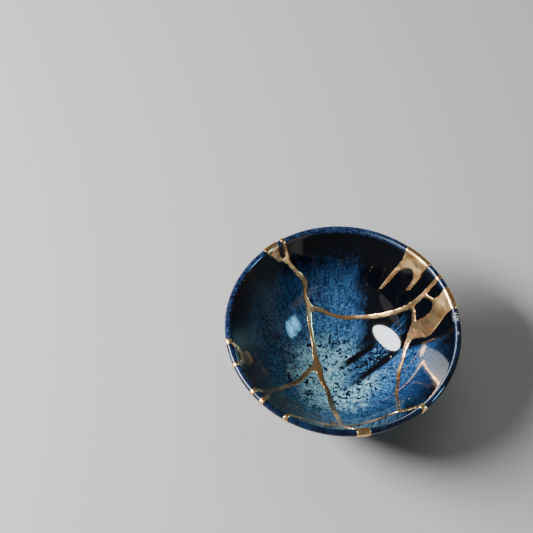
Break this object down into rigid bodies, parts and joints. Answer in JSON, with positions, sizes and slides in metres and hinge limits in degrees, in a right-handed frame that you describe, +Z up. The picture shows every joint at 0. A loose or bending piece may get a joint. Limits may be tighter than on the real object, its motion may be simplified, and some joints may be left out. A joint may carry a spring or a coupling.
{
  "type": "kintsugi bowl",
  "caption": "Small round glazed ceramic bowl on a foot ring, broken into sherds and rejoined with raised gold lacquer seams and fills.",
  "frame": {"origin": "centre of the foot ring's underside, where the bowl stands", "axes": "+Z up along the bowl's axis, -Y towards the side that the picture shows nearest"},
  "size_m": [0.12, 0.12, 0.0524],
  "materials": {
    "glaze": "glossy deep blue glaze with a turquoise heart and black upper wall",
    "kintsugi_gold": "satin pale gold dust on lacquer"
  },
  "bodies": {
    "root": {"back_sherd": "glaze", "left_sherd": "glaze", "base_sherd": "glaze", "right_sherd": "glaze", "front_right_sherd": "glaze", "front_left_sherd": "glaze", "lower_left_sherd": "glaze", "left_rim_chip": "glaze", "left_back_rim_chip": "glaze", "lower_left_rim_chip": "glaze", "right_rim_chip": "glaze", "right_inner_chip": "glaze", "gold_seams": "kintsugi_gold", "gold_back_fill": "kintsugi_gold", "gold_left_loop": "kintsugi_gold"}
  },
  "joints": []
}
